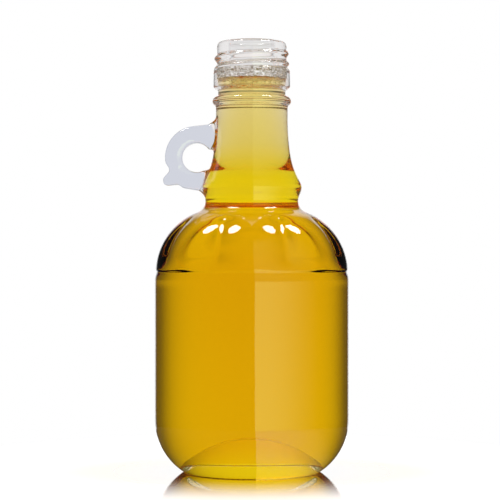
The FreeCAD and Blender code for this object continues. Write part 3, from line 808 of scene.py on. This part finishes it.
# %% Strew the froth
FROTH_BUBBLES, FROTH_BENDS, FROTH_FOOT = 2000, 1.36, 1.5
WALL_SHARE, FINE_SHARE = 0.85, 0.93
FINE_BUBBLE, COARSE_BUBBLE = (0.1, 0.26), (0.26, 0.45)
strewn = random.Random(7)
froth = bmesh.new()
bubble_mesh = bpy.data.meshes.new("bubble")
bubble = bmesh.new()
bmesh.ops.create_uvsphere(bubble, u_segments=7, v_segments=5, radius=1)
for _ in range(FROTH_BUBBLES):
    on_wall = strewn.random() < WALL_SHARE
    size = strewn.uniform(*(FINE_BUBBLE if strewn.random() < FINE_SHARE else COARSE_BUBBLE))
    reach = MOUTH_BORE - size - 0.05 if on_wall else (MOUTH_BORE - 1) * math.sqrt(strewn.random())
    climb = strewn.random() if on_wall else 0.1 * strewn.random()
    level = SYRUP_LEVEL - FROTH_FOOT + (FROTH_LEVEL - SYRUP_LEVEL + 1.3 - size) * climb
    azimuth = strewn.uniform(0, math.tau)
    place = (reach * math.cos(azimuth), reach * math.sin(azimuth), level)
    blown = bubble.copy()
    bmesh.ops.transform(blown, matrix=Matrix.Translation(place) @ Matrix.Scale(size, 4),
                        verts=blown.verts[:])
    blown.to_mesh(bubble_mesh)
    blown.free()
    froth.from_mesh(bubble_mesh)
bubble.free()
bubble_skin = clear_material("froth", FROTH_BENDS, shades=((1, 1, 1), (0.97, 0.95, 0.9)))
froth_piece = finish_piece(froth, "froth", [bubble_skin], levels=0)

# %% [markdown]
# ## The floor and the room
#
# Glass shows the room. A bottle in an evenly white room is almost invisible, so this room differs
# by the kind of light that looks at it. The camera sees plain white. Light that has passed through
# the glass sees a pale panel, a darker ceiling and darker sides, which model the bead and the
# thread. Light thrown back by the glass sees a dark room with one tall window in front and to the
# right, which lays the broad soft sheen on the right half of the bottle. Light from the matt floor
# sees an even grey.

# %% The room
def band_node(nodes, links, value, start, end):
    """0 below start, 1 above end, and a smooth rise between."""
    band = nodes.new("ShaderNodeMapRange")
    band.interpolation_type = "SMOOTHSTEP"
    band.inputs["From Min"].default_value = start
    band.inputs["From Max"].default_value = end
    links.new(value, band.inputs["Value"])
    return band.outputs["Result"]


def math_node(nodes, links, operation, first, second=None):
    node = nodes.new("ShaderNodeMath")
    node.operation = operation
    for socket, value in zip(node.inputs, (first, second)):
        if isinstance(value, (int, float)):
            socket.default_value = value
        elif value is not None:
            links.new(value, socket)
    return node.outputs["Value"]


PANEL_LIGHT = (0.94, 0.89, 0.86, 1)
WINDOW_EDGE, WINDOW_FADE = (3.2, 3.6), (12, 90)
WINDOW_MIDDLE, WINDOW_TOP, TOP_SHARE = (0.5, 4), (50, 64), 0.25


def aside_node(nodes, links, across, away):
    """The angle in degrees from straight behind the bottle, to either side."""
    return math_node(nodes, links, "ABSOLUTE", math_node(
        nodes, links, "DEGREES", math_node(nodes, links, "ARCTAN2", across, away)))


def window_group():
    """The tall window in front and to the right, by the direction from the bottle."""
    group, given, put_out = new_group("window", [("Way", "NodeSocketVector", (0, 0, 0))],
                                      [("Mask", "NodeSocketFloat")])
    nodes, links = group.nodes, group.links
    way = nodes.new("ShaderNodeSeparateXYZ")
    links.new(given.outputs["Way"], way.inputs["Vector"])
    across, away, up = way.outputs
    aside = math_node(nodes, links, "DEGREES", math_node(
        nodes, links, "ARCTAN2", across, math_node(nodes, links, "MULTIPLY", away, -1)))
    window = math_node(nodes, links, "MULTIPLY", band_node(nodes, links, aside, *WINDOW_EDGE),
                       math_node(nodes, links, "SUBTRACT", 1,
                                 band_node(nodes, links, aside, *WINDOW_FADE)))
    height = math_node(nodes, links, "DEGREES", math_node(nodes, links, "ARCSINE", up))
    top = math_node(nodes, links, "ADD", math_node(
        nodes, links, "MULTIPLY", band_node(nodes, links, height, *WINDOW_MIDDLE),
        1 - TOP_SHARE), math_node(
        nodes, links, "MULTIPLY", band_node(nodes, links, height, *WINDOW_TOP), TOP_SHARE))
    links.new(math_node(nodes, links, "MULTIPLY", window, math_node(
        nodes, links, "SUBTRACT", 1, top)), put_out.inputs["Mask"])
    return group


WINDOW = window_group()

# %% Light the world with it
CEILING_LIGHT, SIDE_LIGHT = (0.6, 0.58, 0.56, 1), (0.2, 0.2, 0.2, 1)
BACKDROP_ENDS, CEILING_STARTS, SIDES_START = (14, 24), (0.6, 0.8), (62, 86)
DARK_ROOM, WINDOW_LIGHT, FLOOR_LIGHT = (0.03, 0.03, 0.03, 1), (2.15, 2.6, 1.0, 1), 0.7
world = bpy.data.worlds.new("studio")
world.use_nodes = True
bpy.context.scene.world = world
nodes, links = world.node_tree.nodes, world.node_tree.links
way = nodes.new("ShaderNodeTexCoord").outputs["Generated"]
parts = nodes.new("ShaderNodeSeparateXYZ")
links.new(way, parts.inputs["Vector"])
window = nodes.new("ShaderNodeGroup")
window.node_tree = WINDOW
links.new(way, window.inputs["Way"])
ray = nodes.new("ShaderNodeLightPath").outputs
aside = aside_node(nodes, links, parts.outputs["X"], parts.outputs["Y"])
front = band_node(nodes, links, aside, *BACKDROP_ENDS)
mirrored = blend_node(nodes, links, front, (1, 1, 1, 1), DARK_ROOM)
mirrored = blend_node(nodes, links, window.outputs["Mask"], mirrored, WINDOW_LIGHT)
bright = FLOOR_LIGHT, FLOOR_LIGHT, FLOOR_LIGHT, 1
lit = blend_node(nodes, links, ray["Is Glossy Ray"], bright, mirrored)
overhead = band_node(nodes, links, parts.outputs["Z"], *CEILING_STARTS)
beside = band_node(nodes, links, aside, *SIDES_START)
through = blend_node(nodes, links, overhead, blend_node(
    nodes, links, beside, PANEL_LIGHT, SIDE_LIGHT), CEILING_LIGHT)
lit = blend_node(nodes, links, ray["Is Transmission Ray"], lit, through)
lit = blend_node(nodes, links, ray["Is Camera Ray"], lit, (1, 1, 1, 1))
links.new(lit, nodes["Background"].inputs["Color"])

# %% [markdown]
# ## Dark cards beside the bottle
#
# In a studio, dark cards are stood behind a glass, out of the camera's view, so that its edges are
# drawn dark. The cards here are one curved screen close round the back of the body. It is as
# bright as the room straight behind the bottle and darkens to both sides. Only light that has
# passed through glass meets it. It stops below the waist and stands near, so that light bent
# downwards by the neck passes over it and the neck's edges stay pale.

# %% The cards
CARD_REACH, CARD_HEIGHT, CARD_FADE, CARD_TURN = 60, 70, 6, 1.5
CARD_FOOT_TURN, CARD_SWEEP, CARD_FOLDS = math.radians(-15), math.radians(210), 60
CARD_LIGHT, CARD_STARTS, CARD_FULL = (0.27, 0.26, 0.09, 1), 1, 28
cards = bmesh.new()
pen = cards.verts.new((CARD_REACH * math.cos(CARD_FOOT_TURN),
                       CARD_REACH * math.sin(CARD_FOOT_TURN), 0))
strip = bmesh.ops.extrude_vert_indiv(cards, verts=[pen])
bmesh.ops.translate(cards, verts=strip["verts"], vec=(0, 0, CARD_HEIGHT))
bmesh.ops.spin(cards, geom=cards.verts[:] + cards.edges[:], cent=(0, 0, 0), axis=(0, 0, 1),
               angle=CARD_SWEEP, steps=CARD_FOLDS)
card_finish = bpy.data.materials.new("card")
card_finish.use_nodes = True
nodes, links = card_finish.node_tree.nodes, card_finish.node_tree.links
place = nodes.new("ShaderNodeSeparateXYZ")
links.new(nodes.new("ShaderNodeTexCoord").outputs["Object"], place.inputs["Vector"])
dark = band_node(nodes, links, aside_node(nodes, links, place.outputs["X"], place.outputs["Y"]),
                 CARD_STARTS, CARD_FULL)
below = math_node(nodes, links, "SUBTRACT", 1, band_node(
    nodes, links, place.outputs["Z"], (CARD_HEIGHT - CARD_FADE) * TO_METRES,
    CARD_HEIGHT * TO_METRES))
glow = nodes.new("ShaderNodeEmission")
links.new(blend_node(nodes, links, math_node(nodes, links, "MULTIPLY", dark, below), PANEL_LIGHT,
                     CARD_LIGHT), glow.inputs["Color"])
links.new(glow.outputs["Emission"], nodes["Material Output"].inputs["Surface"])
card_screen = cast_object(cards, "cards", [card_finish])
card_screen.visible_camera = card_screen.visible_diffuse = card_screen.visible_glossy = False
card_screen.visible_shadow = card_screen.visible_volume_scatter = False
card_screen.rotation_euler.z = math.radians(CARD_TURN)

# %% [markdown]
# ## The table top
#
# The bottle stands on a glossy white sheet. Close to the foot it mirrors the heel clearly, and the
# mirror image fades further away. A diffuse white mixed with a slightly rough mirror does this.
# The mirror is only for the camera. Seen through the glass the sheet carries a painted shade tinted
# amber, and seen by reflection it is painted dark but for a painted patch of window light.

# %% The floor
MIRROR_REACH, MIRROR_SHARE, MIRROR_ROUGHNESS = (0.028, 0.095), (1.0, 0.0), 0.05
# FLOOR_PAINTED_DARK is the floor's painted shade, the dark it shows in reflections.
FLOOR_RADIUS, FLOOR_PAINTED_DARK = 130, (0.05, 0.05, 0.05, 1)
FLOOR_WARM = (0.975, 0.97, 0.965)
# FLOOR_PAINTED_AMBER_SHADE is the floor as seen through the glass: a painted shade tinted amber.
FLOOR_WHITE, FLOOR_PAINTED_AMBER_SHADE = (0.99, 0.99, 0.99, 1), (0.62, 0.58, 0.40, 1)
sheet = bmesh.new()
bmesh.ops.create_circle(sheet, cap_ends=True, segments=96, radius=FLOOR_RADIUS)
table_top = bpy.data.materials.new("white sheet")
table_top.use_nodes = True
nodes, links = table_top.node_tree.nodes, table_top.node_tree.links
matt = nodes["Principled BSDF"]
ray = nodes.new("ShaderNodeLightPath").outputs
window = nodes.new("ShaderNodeGroup")
window.node_tree = WINDOW
links.new(nodes.new("ShaderNodeTexCoord").outputs["Object"], window.inputs["Way"])
# Painted light and shade: dark in reflections, with a painted patch of window light, and a painted
# amber shade for light through the glass.
shade = blend_node(nodes, links, window.outputs["Mask"], FLOOR_PAINTED_DARK, FLOOR_WHITE)
shade = blend_node(nodes, links, ray["Is Transmission Ray"], shade, FLOOR_PAINTED_AMBER_SHADE)
seen = cloudy_shade(nodes, links, FLOOR_WHITE[:3], FLOOR_WARM, 4.0)
links.new(blend_node(nodes, links, ray["Is Camera Ray"], shade, seen), matt.inputs["Base Color"])
matt.inputs["Specular IOR Level"].default_value = 0.0
matt.inputs["Roughness"].default_value = 0.6
mirror = nodes.new("ShaderNodeBsdfGlossy")
mirror.inputs["Roughness"].default_value = MIRROR_ROUGHNESS
links.new(seen, mirror.inputs["Color"])
both = nodes.new("ShaderNodeMixShader")
reach = nodes.new("ShaderNodeVectorMath")
reach.operation = "LENGTH"
links.new(nodes.new("ShaderNodeTexCoord").outputs["Object"], reach.inputs[0])
share = nodes.new("ShaderNodeMapRange")
share.interpolation_type = "SMOOTHSTEP"
share.inputs["From Min"].default_value, share.inputs["From Max"].default_value = MIRROR_REACH
share.inputs["To Min"].default_value, share.inputs["To Max"].default_value = MIRROR_SHARE
links.new(reach.outputs["Value"], share.inputs["Value"])
links.new(math_node(nodes, links, "MULTIPLY", share.outputs["Result"], ray["Is Camera Ray"]),
          both.inputs["Fac"])
links.new(matt.outputs["BSDF"], both.inputs[1])
links.new(mirror.outputs["BSDF"], both.inputs[2])
links.new(both.outputs["Shader"], nodes["Material Output"].inputs["Surface"])
cast_object(sheet, "floor", [table_top])

# %% [markdown]
# ## Lamps and camera
#
# Two soft lamps hang high above, one to each side. They draw the bright spots on the lobes and
# cast the soft shadow. Light that has passed through the glass doesn't see them, as it would turn
# them into small hard sparks.
#
# The camera stands level with the middle of the bottle, far off, with a long lens. This keeps the
# sides upright.

# %% Lamps
def hang_lamp(name, place, width, depth, power):
    lamp = bpy.data.lights.new(name, "AREA")
    lamp.shape = "ELLIPSE"
    lamp.size, lamp.size_y = width, depth
    lamp.energy = power
    hung = bpy.data.objects.new(name, lamp)
    hung.location = place
    aim = Vector((0, 0, 0.08)) - Vector(place)
    hung.rotation_euler = aim.to_track_quat("-Z", "Y").to_euler()
    hung.visible_transmission = False
    bpy.context.scene.collection.objects.link(hung)


LAMP_ASIDE, LAMP_FORWARD, LAMP_HEIGHT, LAMP_POWER = 0.447, 0.01, 1.08, 4.5
LAMP_WIDTH, LAMP_DEPTH = 0.3, 0.36
for side, name in ((-1, "left lamp"), (1, "right lamp")):
    hang_lamp(name, (side * LAMP_ASIDE, -LAMP_FORWARD, LAMP_HEIGHT), LAMP_WIDTH, LAMP_DEPTH,
              LAMP_POWER)

# %% Camera
CAMERA_PLACE, CAMERA_LENS, SENSOR_WIDTH = (-0.00065, -0.65, 0.0799), 129.6, 36.0
lens = bpy.data.cameras.new("camera")
lens.lens = CAMERA_LENS
lens.sensor_width = SENSOR_WIDTH
camera = bpy.data.objects.new("camera", lens)
camera.location = CAMERA_PLACE
camera.rotation_euler = (math.radians(90), 0, 0)
bpy.context.scene.collection.objects.link(camera)
bpy.context.scene.camera = camera
bpy.context.scene.view_settings.view_transform = "Standard"

# %% [markdown]
# ## Light deep in the glass
#
# At the waist and in the thick finish, light is thrown to and fro inside the glass many times
# before it leaves. If the renderer gives up early, those places turn black, so it may follow a
# ray through many more meetings than it does as a rule.

# %% Let light go deep
DEEP = 40
cycles = bpy.context.scene.cycles
cycles.max_bounces = cycles.glossy_bounces = cycles.transmission_bounces = DEEP
